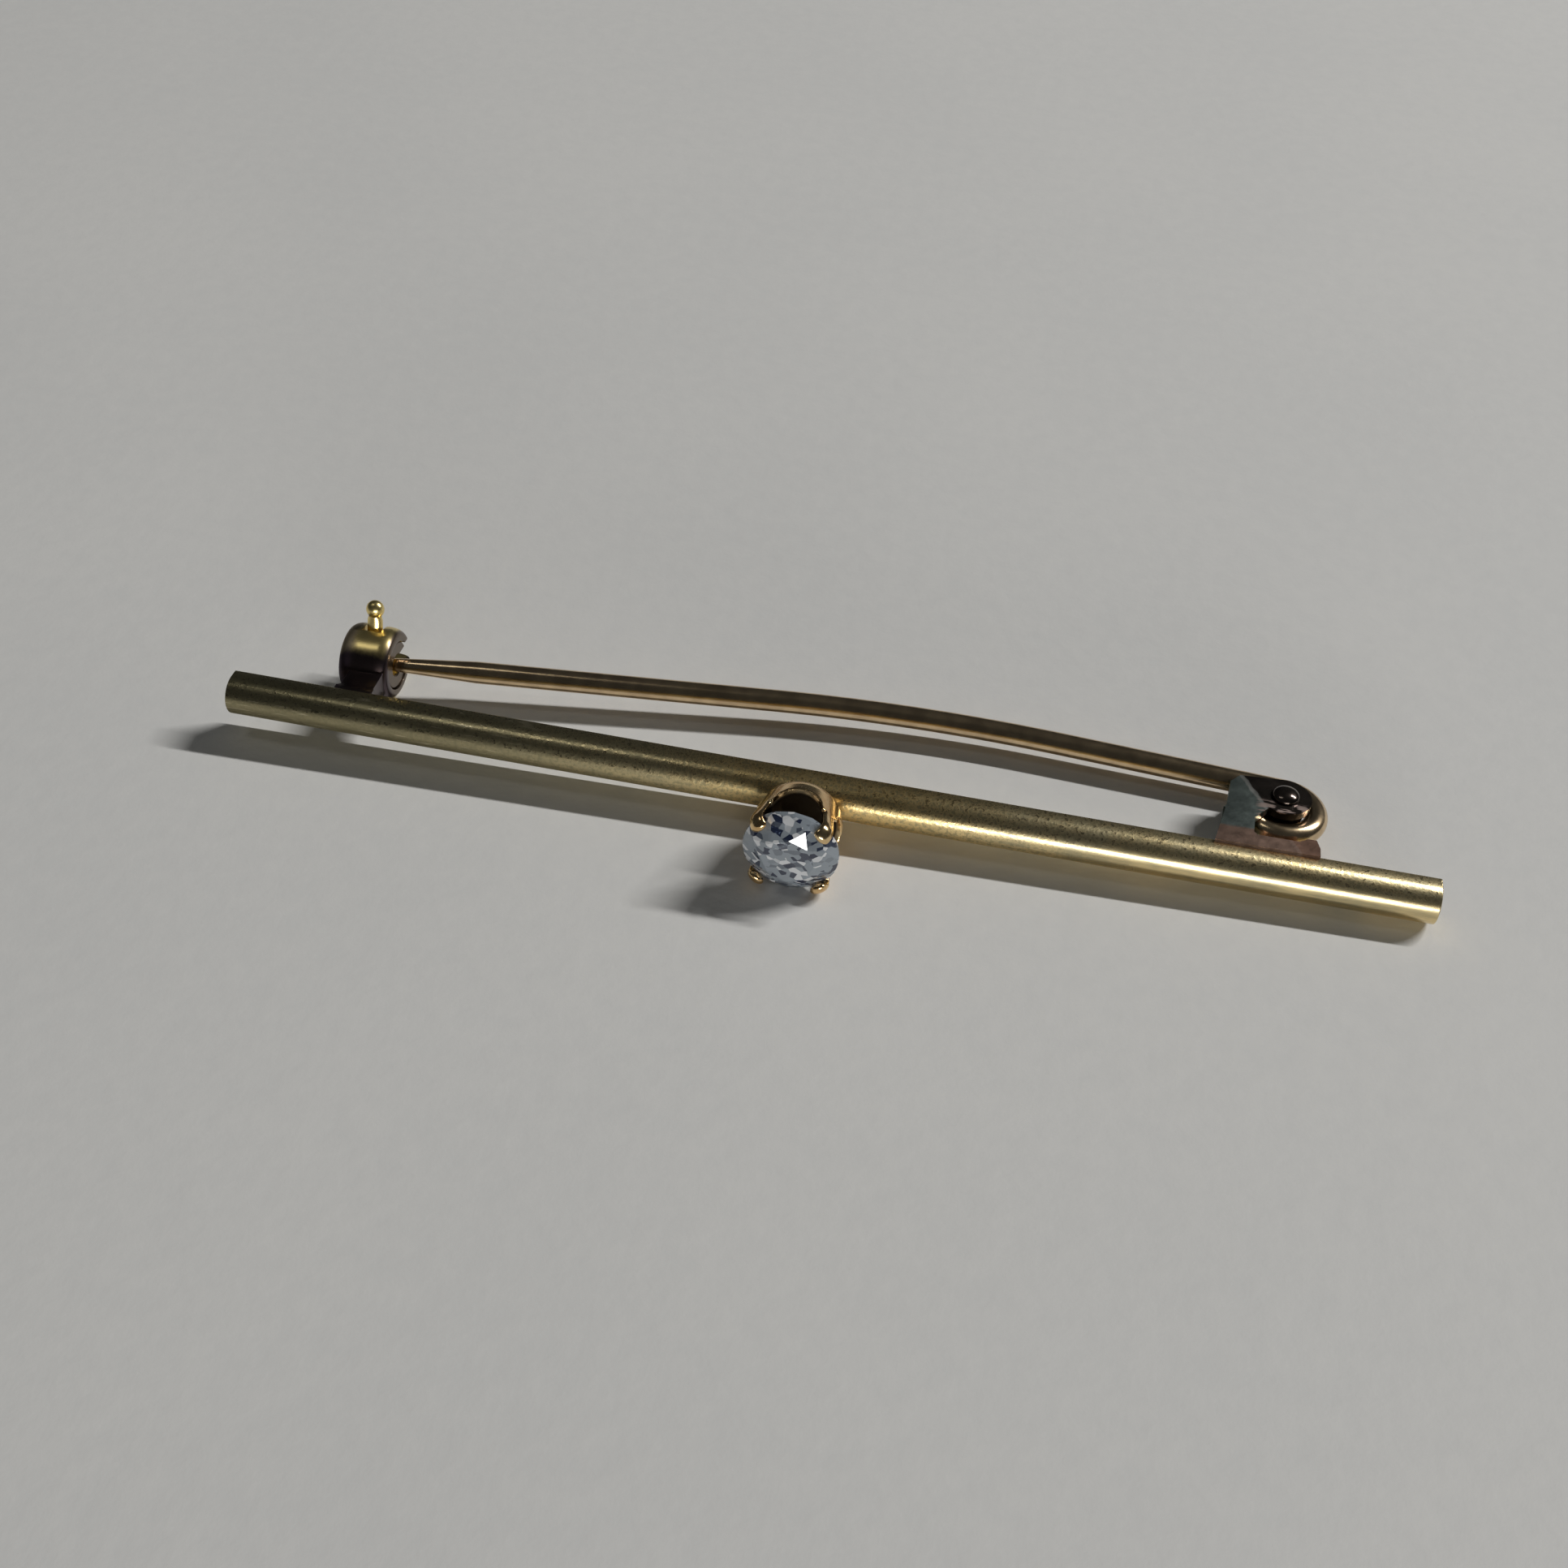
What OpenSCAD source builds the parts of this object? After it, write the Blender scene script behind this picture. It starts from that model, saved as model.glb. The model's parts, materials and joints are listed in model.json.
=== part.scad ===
// Bar brooch with a round stone in four claws, a pin on a hinge and a safety catch.
// Millimetres. Each piece is drawn in the brooch's own frame: X along the bar with the catch at
// the left, -Y to the face with the stone, +Z across the bar. The last step sets the whole brooch
// down on a table, where it rests on the stone, the catch and the hinge.

/* [Bar] */
// Length of the bar
bar_l = 52; // [40:0.5:70]
// Width of the bar across its face
bar_w = 1.85; // [1.4:0.05:3]
// Flat side of the bar behind its half-round face
bar_side = 0.425; // [0.2:0.025:1]
// Height of the stone, catch and hinge above the bar's middle
line_z = 0.2; // [0:0.05:0.4]

/* [Stone] */
// Diameter of the stone
stone_d = 4; // [3:0.1:5]
// Width of the table, as a share of the diameter
table_share = 0.56; // [0.5:0.01:0.65]
// Height of the crown, as a share of the diameter
crown_share = 0.155; // [0.1:0.005:0.2]
// Depth of the pavilion, as a share of the diameter
pavilion_share = 0.43; // [0.38:0.01:0.46]
// Thickness of the girdle
girdle_t = 0.2; // [0.05:0.01:0.25]
// Distance from the bar's back to the middle of the girdle
girdle_out = 4.31; // [3.8:0.01:5]

/* [Claw setting] */
// Radius of the setting's foot on the bar
foot_r = 0.72; // [0.5:0.02:0.85]
// Radius of the bowl beside the bar, before its bottom is rounded
bowl_low_r = 1.5; // [1.3:0.02:1.6]
// Rounding of the bowl's bottom
bowl_round = 0.75; // [0.4:0.05:0.9]
// Thickness of the bowl's wall, measured across
bowl_wall = 0.39; // [0.3:0.01:0.5]
// Thickness of the bowl's floor on the bar
bowl_floor = 0.35; // [0.25:0.05:0.5]
// Thickness of a claw beside the stone's girdle
claw_out = 0.26; // [0.2:0.02:0.45]
// How far a claw's seat reaches under the stone
claw_seat = 0.19; // [0.1:0.01:0.3]
// Gap between the stone and its claws
stone_gap = 0.04; // [0.02:0.01:0.08]
// Angle of the claws from the bar's length
claw_angle = 48; // [40:1:55]
// Width of a claw
claw_w = 0.6; // [0.4:0.02:0.9]
// Radius of the bead at a claw's tip
tip_r = 0.42; // [0.3:0.02:0.5]
// Height of the bead's centre above the middle of the girdle
tip_up = 0.4; // [0.3:0.02:0.5]
// Height of the bowl below the openings between the claws
bowl_h = 1.2; // [0.9:0.05:1.8]
// Height of the openings' rounded bottoms
window_round = 0.9; // [0.6:0.05:1.1]

/* [Catch] */
// Position of the catch along the bar, from the middle
catch_x = -20.82; // [-23:0.01:-16]
// Distance from the bar's back to the catch's axis
catch_y = 3.08; // [2.8:0.01:3.6]
// Radius of the catch housing
catch_r = 1.65; // [1.5:0.01:1.9]
// Length of the catch housing
catch_l = 2.25; // [1.8:0.05:3]
// Rounding of the housing's ends
catch_edge = 0.22; // [0.1:0.02:0.3]
// Thickness of the housing's wall
catch_wall = 0.52; // [0.4:0.02:0.6]
// Thickness of the housing's closed end
catch_end = 0.35; // [0.25:0.05:0.5]
// Gap in the housing that lets the pin in
catch_gap = 1.15; // [0.95:0.05:1.3]
// Thickness of the neck between the bar and the housing
neck_w = 1.1; // [0.8:0.05:1.4]
// Distance from the housing's outer end to the neck's foot
neck_inset = 0.5; // [0.1:0.05:0.8]
// Height of the neck's spread foot on the bar
neck_foot = 0.3; // [0.2:0.05:0.5]
// Spread of the foot beyond the neck on each side
foot_spread = 0.12; // [0.05:0.01:0.2]

/* [Catch lever] */
// Clearance between the turning sleeve and the housing
sleeve_play = 0.05; // [0.03:0.01:0.08]
// Radius of the sleeve's bore
sleeve_bore_r = 0.5; // [0.45:0.01:0.6]
// Width of the sleeve's slot
sleeve_slot = 0.75; // [0.7:0.01:0.9]
// Width of the lever along the catch
lever_w = 0.72; // [0.5:0.02:0.9]
// Thickness of the lever
lever_t = 0.46; // [0.3:0.02:0.6]
// Distance from the catch's axis to the lever's tip
lever_tip = 2.9; // [2.5:0.05:3.3]
// Lean of the lever away from the bar at rest
lever_lean = 17; // [0:1:25]
// Turn of the lever, backwards over the gap, from open to shut
lever_turn = 70; // [60:1:75]

/* [Pin] */
// Diameter of the pin's wire
pin_d = 1; // [0.8:0.05:1.2]
// Diameter of the pin where it enters the catch
pin_catch_d = 0.62; // [0.5:0.02:0.66]
// Length of the pin's taper outside the catch
taper_l = 3.6; // [2:0.1:8]
// Length of the pin's point inside the catch
point_l = 1.45; // [1:0.05:1.6]
// Slope of the pin on the catch's side of its bow, in degrees
slope_catch = 6.61; // [3:0.01:8]
// Slope of the pin on the hinge's side of its bow, in degrees
slope_hinge = 3.84; // [2:0.01:6]
// Radius of the bow's bend
bow_r = 72; // [20:1:90]
// Radius of the pin's blunt point
tip_end_r = 0.14; // [0.1:0.02:0.25]
// Radius of the pin's eye, at the middle of its wire
eye_r = 1.45; // [1.3:0.01:1.6]
// Turn of the eye's curl, in degrees
eye_turn = 250; // [230:1:270]

/* [Hinge] */
// Position of the hinge's axis along the bar, from the middle
hinge_x = 19.7; // [15:0.01:22]
// Distance from the bar's back to the hinge's axis
hinge_y = 3.27; // [3.1:0.01:3.6]
// Thickness of each ear
ear_t = 0.35; // [0.3:0.01:0.5]
// Clearance between the ears and the pin's wire
ear_play = 0.05; // [0.03:0.01:0.1]
// Radius of the ears' round boss
boss_r = 1.1; // [1:0.05:1.4]
// Reach of the ears from the hinge's axis toward the catch
ear_reach = 2.85; // [2.6:0.05:3.1]
// Thickness of the bracket's base on the bar
base_t = 0.55; // [0.4:0.05:0.8]
// Height of the base's end beyond the eye
base_end_h = 0.8; // [0.6:0.05:1]
// Reach of the base beyond the hinge's axis
base_reach = 1.4; // [1.1:0.05:2]
// Clearance between the post and the pin's eye
post_play = 0.05; // [0.03:0.01:0.08]
// Radius of the post's ends in the ears
rivet_r = 0.4; // [0.3:0.02:0.5]
// Clearance round the post's ends
rivet_play = 0.04; // [0.02:0.01:0.06]
// Radius of the rivet's domed head
head_r = 0.58; // [0.5:0.02:0.8]
// Height of the rivet's domed head
head_h = 0.32; // [0.1:0.02:0.4]

/* [Hidden] */

gold = [0.83, 0.69, 0.38];
pale_gold = [0.87, 0.77, 0.52];
glass = [0.8, 0.86, 0.9, 0.5];

sink = 0.15;
cut = 1;
foot_sink = 0.8;
meet_over = 0.02;
meet_gap = 0.05;
meet_l = 0.24;
star_share = 0.55;
lower_share = 0.78;
lower_reach = 0.22;
tip_out = 0.03;
sleeve_end = 0.06;
window_play = 0.065;
window_turn = 3;
rivet_end = 0.03;

bar_t = bar_side + bar_w / 2;

stone_r = stone_d / 2;
table_r = stone_r * table_share;
crown_h = stone_d * crown_share;
pavilion_h = stone_d * pavilion_share;
half_step = 22.5;
star_h = star_share * crown_h;
star_r = (stone_r - (stone_r - table_r) * star_share) / cos(half_step);
lower_h = lower_share * pavilion_h;
lower_r = lower_reach * stone_r / cos(half_step);

claw_r = stone_r + stone_gap + claw_out;
claw_in = stone_r + stone_gap - claw_seat;
tip_at = claw_r - tip_r + tip_out;
tip_z = girdle_out + tip_up;
window_side = (claw_in + claw_r) / 2 * sin(claw_angle) - claw_w / 2 * cos(claw_angle);
window_top = (claw_in + claw_r) / 2 * cos(claw_angle) - claw_w / 2 * sin(claw_angle);

catch_bore_r = catch_r - catch_wall;
neck_start = catch_x - catch_l / 2 + neck_inset;
foot_l = catch_l - neck_inset;
neck_l = foot_l - 2 * foot_spread;
sleeve_r = catch_bore_r - sleeve_play;
sleeve_l = catch_l - catch_end - 2 * sleeve_end;
lever_ball_r = lever_w / 2 + 0.05;
window_w = lever_w + 2 * window_play;
lever_room = asin(lever_t / 2 / sleeve_r) + window_turn;
window_start = 180 - lever_lean - lever_turn - lever_room;
window_sweep = lever_turn + 2 * lever_room;

pin_r = pin_d / 2;
pin_catch_r = pin_catch_d / 2;
mouth = [catch_x + catch_l / 2, catch_y];
catch_way = [cos(slope_catch), sin(slope_catch)];
hinge_way = [-cos(slope_hinge), sin(slope_hinge)];
hinge_w = 2 * (pin_r + ear_play + ear_t);
hinge = [hinge_x, hinge_y];
eye_start = hinge + eye_r * [sin(slope_hinge), cos(slope_hinge)];
bow_turn = slope_catch + slope_hinge;
bow_gap = eye_start - mouth;
catch_run = (bow_gap.x * hinge_way.y - bow_gap.y * hinge_way.x)
    / (catch_way.x * hinge_way.y - catch_way.y * hinge_way.x);
bow_corner = mouth + catch_run * catch_way;
hinge_run = norm(eye_start - bow_corner);
bow_tangent = bow_r * tan(bow_turn / 2);
bow_start = bow_corner - bow_tangent * catch_way;
bow_centre = bow_start + bow_r * [catch_way.y, -catch_way.x];

post_r = eye_r - pin_r - post_play;
ear_in = pin_r + ear_play;

function unit(v) = v / norm(v);

// Lowest point of each thing that the brooch can stand on, for a table whose normal is up.
function low_stone() = [0, girdle_t / 2 - girdle_out, line_z - stone_r];
function low_catch(up) = [mouth.x - catch_edge, catch_y, line_z] - catch_r * unit([0, up.y, up.z]);
function low_hinge(up) = [hinge_x, hinge_y, line_z - hinge_w / 2] - boss_r * unit([up.x, up.y, 0]);
function table_up(up) = unit(cross(low_stone() - low_catch(up), low_hinge(up) - low_catch(up)));
function settle(up, turns) = turns == 0 ? up : settle(table_up(up), turns - 1);

up = settle([0, -0.1, 1], 6);
tilt_x = atan2(up.y, up.z);
tilt_y = atan2(-up.x, norm([up.y, up.z]));
lift = -up * low_stone();
back_y = (bow_centre.y + bow_r) * cos(tilt_x) - line_z * sin(tilt_x) + pin_r;
front_y = -tip_z * cos(tilt_x) - (line_z - tip_at * sin(claw_angle)) * sin(tilt_x) - tip_r;
middle_y = (back_y + front_y) / 2;

// Radius of the setting's flared side at height h from the bar's back.
function flare_r(h) = bowl_low_r + (claw_r - bowl_low_r) * (h - bar_t) / (girdle_out - bar_t);

module bar() {
    difference() {
        union() {
            translate([-bar_l / 2, -bar_side, 0])
                rotate([0, 90, 0]) cylinder(d = bar_w, h = bar_l, $fn = 64);
            translate([-bar_l / 2, -bar_side, -bar_w / 2]) cube([bar_l, bar_side, bar_w]);
        }
        translate([-bar_l, 0, -bar_w]) cube([2 * bar_l, bar_w, 2 * bar_w]);
    }
}

// Wall of the bowl and the claws, as a ring, in a frame whose Z leads from the bar's back to the stone.
module bowl_ring() {
    steps = 6;
    floor_h = bar_t + bowl_floor;
    bottom = [
        for (i = [0:steps])
            let (h = bar_t + bowl_round * (1 - cos(90 * i / steps)))
            [flare_r(h) - bowl_round * (1 - sin(90 * i / steps)), h]
    ];
    rotate_extrude($fn = 96)
        polygon(concat(
            [[0, bar_t - foot_sink], [foot_r, bar_t - foot_sink]],
            bottom,
            [[claw_r, girdle_out], [claw_r, tip_z], [claw_in, tip_z], [claw_in, girdle_out]],
            [[flare_r(floor_h) - bowl_wall, floor_h], [0, floor_h]]
        ));
}

// Room for the stone and its gap.
module stone_room() {
    g = stone_gap;
    rotate_extrude($fn = 96)
        polygon([
            [0, girdle_out - pavilion_h - girdle_t / 2 - 2 * g],
            [stone_r + g, girdle_out - girdle_t / 2 - 0.4 * g],
            [stone_r + g, girdle_out + girdle_t / 2 + 0.4 * g],
            [star_r + g, girdle_out + girdle_t / 2 + star_h + g],
            [table_r + g, girdle_out + girdle_t / 2 + crown_h + g],
            [0, girdle_out + girdle_t / 2 + crown_h + g]
        ]);
}

// Opening between two claws: a round-bottomed window of half width w, cut outwards along X.
module window(w) {
    steps = 8;
    low = bar_t + bowl_h;
    curve = [
        for (i = [0:steps])
            [-w * cos(180 * i / steps), low + window_round * (1 - sin(180 * i / steps))]
    ];
    rotate([90, 0, 90])
        linear_extrude(height = claw_r + cut)
        polygon(concat(curve, [[w, tip_z + tip_r + cut], [-w, tip_z + tip_r + cut]]));
}

module setting() {
    translate([0, 0, line_z]) rotate([90, 0, 0])
        difference() {
            union() {
                difference() {
                    bowl_ring();
                    for (side = [0, 180]) rotate([0, 0, side]) window(window_side);
                    for (side = [90, 270]) rotate([0, 0, side]) window(window_top);
                }
                for (s = [-1, 1], t = [-1, 1])
                    translate([s * tip_at * cos(claw_angle), t * tip_at * sin(claw_angle), tip_z])
                        sphere(r = tip_r, $fn = 48);
            }
            stone_room();
        }
}

// Places a shape drawn round the Z axis onto the catch's axis: its X turns to -Z and its Z to X.
module on_catch() {
    translate([catch_x, catch_y, line_z]) rotate([0, 90, 0]) children();
}

module catch_barrel() {
    rotate_extrude($fn = 96) {
        translate([0, -catch_l / 2]) square([catch_r - catch_edge, catch_l]);
        translate([0, catch_edge - catch_l / 2]) square([catch_r, catch_l - 2 * catch_edge]);
        for (s = [-1, 1])
            translate([catch_r - catch_edge, s * (catch_l / 2 - catch_edge)])
                circle(r = catch_edge, $fn = 32);
    }
}

module catch_housing() {
    difference() {
        union() {
            on_catch() catch_barrel();
            translate([neck_start + foot_spread, -sink, line_z - neck_w / 2])
                cube([neck_l, catch_y + sink - catch_bore_r, neck_w]);
            translate([neck_start, -sink, line_z - neck_w / 2 - foot_spread])
                cube([foot_l, neck_foot + sink, neck_w + 2 * foot_spread]);
        }
        on_catch()
            translate([0, 0, catch_end - catch_l / 2]) cylinder(r = catch_bore_r, h = catch_l, $fn = 96);
        translate([catch_x - catch_l, catch_y, line_z - catch_gap / 2])
            cube([2 * catch_l, catch_r + cut, catch_gap]);
        on_catch() rotate([0, 0, window_start])
            rotate_extrude(angle = window_sweep, $fn = 96)
            translate([catch_bore_r - sink, -window_w / 2]) square([catch_wall + 2 * sink, window_w]);
    }
}

// Outline of one ear: a round boss on the post's axis and a strip that leads down to the bar.
module ear() {
    translate(hinge) circle(r = boss_r, $fn = 64);
    polygon([
        [hinge_x - ear_reach, -sink],
        [hinge_x - 0.85 * ear_reach, 0.7 * hinge_y],
        [hinge_x - 0.81 * ear_reach, hinge_y + 0.4 * boss_r],
        [hinge_x - 0.67 * ear_reach, hinge_y + 0.85 * boss_r],
        [hinge_x - 0.1 * boss_r, hinge_y + 0.98 * boss_r],
        hinge,
        [hinge_x - 0.6 * boss_r, hinge_y - 0.78 * boss_r],
        [hinge_x - 0.44 * ear_reach, 0.5 * hinge_y],
        [hinge_x - 0.46 * ear_reach, -sink]
    ]);
}

// Outline of the bracket's base on the bar, low under the pin's eye.
module base() {
    polygon([
        [hinge_x - ear_reach, -sink],
        [hinge_x + base_reach, -sink],
        [hinge_x + base_reach, 0.4 * base_end_h],
        [hinge_x + 0.9 * base_reach, base_end_h],
        [hinge_x + 0.65 * base_reach, base_end_h],
        [hinge_x + 0.4 * base_reach, base_t],
        [hinge_x - 0.4 * ear_reach, base_t],
        [hinge_x - 0.7 * ear_reach, 0.45 * hinge_y],
        [hinge_x - 0.86 * ear_reach, 0.58 * hinge_y]
    ]);
}

module hinge_bracket() {
    difference() {
        translate([0, 0, line_z]) {
            for (low = [-hinge_w / 2, hinge_w / 2 - ear_t])
                translate([0, 0, low]) linear_extrude(height = ear_t) ear();
            translate([0, 0, -hinge_w / 2]) linear_extrude(height = hinge_w) base();
        }
        translate([hinge_x, hinge_y, line_z - hinge_w])
            cylinder(r = rivet_r + rivet_play, h = 2 * hinge_w, $fn = 48);
    }
}

module brooch_body() {
    color(gold) union() {
        bar();
        setting();
        catch_housing();
        hinge_bracket();
    }
}

// Round brilliant with its table to -Y: 8 mains, 8 stars and 16 girdle facets above the girdle,
// 8 mains and 16 girdle facets below it.
module stone() {
    top = girdle_t / 2;
    points = concat(
        [for (i = [0:7]) [table_r * cos(45 * i), table_r * sin(45 * i), top + crown_h]],
        [for (i = [0:7]) [star_r * cos(45 * i + half_step), star_r * sin(45 * i + half_step), top + star_h]],
        [for (i = [0:15]) [stone_r * cos(half_step * i), stone_r * sin(half_step * i), top]],
        [for (i = [0:15]) [stone_r * cos(half_step * i), stone_r * sin(half_step * i), -top]],
        [
            for (i = [0:7])
                [lower_r * cos(45 * i + half_step), lower_r * sin(45 * i + half_step), -top - lower_h]
        ],
        [[0, 0, -top - pavilion_h]]
    );
    faces = concat(
        [[for (i = [7:-1:0]) i]],
        [for (i = [0:7]) [i, (i + 1) % 8, 8 + i]],
        [for (i = [0:7]) [i, 8 + i, 16 + 2 * i, 8 + (i + 7) % 8]],
        [for (i = [0:7]) [8 + i, 16 + 2 * i + 1, 16 + 2 * i]],
        [for (i = [0:7]) [8 + i, 16 + (2 * i + 2) % 16, 16 + 2 * i + 1]],
        [for (i = [0:15]) [16 + i, 16 + (i + 1) % 16, 32 + (i + 1) % 16, 32 + i]],
        [for (i = [0:7]) [48 + i, 32 + 2 * i, 32 + 2 * i + 1]],
        [for (i = [0:7]) [48 + i, 32 + 2 * i + 1, 32 + (2 * i + 2) % 16]],
        [for (i = [0:7]) [56, 48 + (i + 7) % 8, 32 + 2 * i, 48 + i]]
    );
    color(glass)
        translate([0, -girdle_out, line_z]) rotate([90, 0, 0]) polyhedron(points = points, faces = faces);
}

module catch_rotor() {
    slot_l = 2 * catch_l;
    lever_from = sleeve_bore_r + sink;
    color(pale_gold) on_catch() {
        difference() {
            translate([0, 0, catch_end + sleeve_end - catch_l / 2])
                cylinder(r = sleeve_r, h = sleeve_l, $fn = 96);
            translate([0, 0, -catch_l]) cylinder(r = sleeve_bore_r, h = slot_l, $fn = 64);
            translate([-sleeve_slot / 2, 0, -catch_l]) cube([sleeve_slot, 2 * sleeve_r, slot_l]);
        }
        rotate([0, 0, 180 - lever_lean]) {
            translate([lever_from, -lever_t / 2, -lever_w / 2])
                cube([lever_tip - lever_ball_r - lever_from, lever_t, lever_w]);
            translate([lever_tip - lever_ball_r, 0, 0]) sphere(r = lever_ball_r, $fn = 48);
        }
    }
}

// A run of round wire from a point in the XY plane, in direction way, with radii r1 and r2.
// It stops short at both ends, where a short collar barely thicker than the wire takes over.
module run(from, way, l, r1, r2) {
    at = from + meet_gap * way;
    translate([at.x, at.y, line_z])
        rotate([0, 90, atan2(way.y, way.x)])
        cylinder(r1 = r1, r2 = r2, h = l - 2 * meet_gap, $fn = 48);
}

// A bent run of round wire about a centre in the XY plane, from angle start on, stopping short alike.
module bend(centre, r, start, turn) {
    short = asin(meet_gap / r);
    translate([centre.x, centre.y, line_z])
        rotate([0, 0, start + short])
        rotate_extrude(angle = turn - 2 * short, $fn = r > 10 ? 360 : 64)
        translate([r, 0]) circle(r = pin_r, $fn = 48);
}

module meet(at, way, r) {
    translate([at.x, at.y, line_z])
        rotate([0, 90, atan2(way.y, way.x)])
        translate([0, 0, -meet_l / 2]) cylinder(r = r + meet_over, h = meet_l, $fn = 48);
}

module pin_stem() {
    taper_start = mouth + taper_l * catch_way;
    bow_end = bow_corner - bow_tangent * hinge_way;
    color(pale_gold) union() {
        bend(hinge, eye_r, 90 - slope_hinge - eye_turn, eye_turn);
        meet(eye_start, hinge_way, pin_r);
        run(eye_start, hinge_way, hinge_run - bow_tangent, pin_r, pin_r);
        meet(bow_end, hinge_way, pin_r);
        bend(bow_centre, bow_r, 90 - slope_hinge, bow_turn);
        meet(bow_start, catch_way, pin_r);
        run(bow_start, -catch_way, catch_run - bow_tangent - taper_l, pin_r, pin_r);
        meet(taper_start, catch_way, pin_r);
        run(taper_start, -catch_way, taper_l, pin_r, pin_catch_r);
        meet(mouth, catch_way, pin_catch_r);
        run(mouth, -catch_way, point_l, pin_catch_r, tip_end_r);
    }
}

// Shouldered rivet: a thick post between the ears, thin ends through them and one domed head.
module hinge_rivet() {
    dome_r = (head_r * head_r + head_h * head_h) / (2 * head_h);
    head_low = hinge_w / 2 + rivet_end;
    color(pale_gold) translate([hinge_x, hinge_y, line_z]) union() {
        translate([0, 0, rivet_end - ear_in]) cylinder(r = post_r, h = 2 * (ear_in - rivet_end), $fn = 64);
        translate([0, 0, rivet_end - hinge_w / 2]) cylinder(r = rivet_r, h = hinge_w + rivet_end, $fn = 48);
        intersection() {
            translate([0, 0, head_low + head_h - dome_r]) sphere(r = dome_r, $fn = 64);
            translate([0, 0, head_low]) cylinder(r = 2 * head_r, h = 2 * head_h, $fn = 48);
        }
    }
}

// Sets the brooch down on the table, with the middle of its box over the origin.
module rest() {
    translate([0, -middle_y, lift]) rotate([tilt_x, tilt_y, 0]) children();
}

rest() brooch_body();
rest() stone();
rest() catch_rotor();
rest() pin_stem();
rest() hinge_rivet();
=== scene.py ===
import json
from math import atan, cos, pi, radians, sin, tan

import bmesh
import bpy
from mathutils import Matrix, Vector


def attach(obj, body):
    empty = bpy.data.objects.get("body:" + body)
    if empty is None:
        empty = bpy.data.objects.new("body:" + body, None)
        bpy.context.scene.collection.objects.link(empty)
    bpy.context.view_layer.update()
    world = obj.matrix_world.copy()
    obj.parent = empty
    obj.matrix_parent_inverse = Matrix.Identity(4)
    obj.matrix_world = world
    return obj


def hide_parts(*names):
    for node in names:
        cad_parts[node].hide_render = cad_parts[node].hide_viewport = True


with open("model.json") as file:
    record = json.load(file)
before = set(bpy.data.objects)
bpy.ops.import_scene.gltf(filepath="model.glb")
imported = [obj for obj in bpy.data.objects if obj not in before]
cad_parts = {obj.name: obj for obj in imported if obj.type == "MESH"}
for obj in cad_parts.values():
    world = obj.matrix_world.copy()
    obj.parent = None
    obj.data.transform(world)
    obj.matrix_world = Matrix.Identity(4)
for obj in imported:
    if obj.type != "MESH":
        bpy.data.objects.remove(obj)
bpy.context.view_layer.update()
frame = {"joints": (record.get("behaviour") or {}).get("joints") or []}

print("frame loaded")

# The brooch rests tilted on the table. Its pieces are drawn in its own frame, in mm: X along the
# bar, -Y out to the stone, Z across the bar. The joints' axes say how that frame lies in the row.
joints = {joint["name"]: joint for joint in frame["joints"]}
alongBar = -Vector(joints["catch_lever"]["axis"]).normalized()
acrossBar = -Vector(joints["pin_hinge"]["axis"]).normalized()
behindBar = acrossBar.cross(alongBar)

bar = {
    "length": 52, "width": 1.85, "side": 0.425, "thick": 1.35, "steps": 96,
    "edge": 0.04, "edgeSteps": 2, "leftRim": 0.03, "rightRim": 0.2, "rimSteps": 3,
}
line = 0.2  # stone, catch and hinge stand this far above the bar's middle
hinge = {
    "x": 19.7, "y": 3.27, "width": 1.8, "ear": 0.35, "boss": 1.1, "reach": 2.85, "base": 0.55,
    "end": 0.8, "endReach": 1.4, "hole": 0.44, "edge": 0.06, "edgeSteps": 3,
}

turned = Matrix((alongBar, behindBar, acrossBar)).transposed().to_4x4()
hingeHere = Vector((hinge["x"], hinge["y"], line))
hingeInRow = Vector(joints["pin_hinge"]["pos_m"])
toMetres = Matrix.Scale(0.001, 4)
place = Matrix.Translation(hingeInRow) @ turned @ toMetres @ Matrix.Translation(-hingeHere)
unplace = place.inverted()


class Socket:
    def __init__(self, tree, end):
        self.tree = tree
        self.end = end

    def math(self, operation, first, second=0.0):
        return self.tree.add("ShaderNodeMath", {"operation": operation}, {0: first, 1: second})

    def __add__(self, other):
        return self.math("ADD", self, other)

    def __radd__(self, other):
        return self.math("ADD", other, self)

    def __sub__(self, other):
        return self.math("SUBTRACT", self, other)

    def __rsub__(self, other):
        return self.math("SUBTRACT", other, self)

    def __mul__(self, other):
        return self.math("MULTIPLY", self, other)

    def __rmul__(self, other):
        return self.math("MULTIPLY", other, self)

    def __pow__(self, other):
        return self.math("POWER", self, other)


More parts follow.
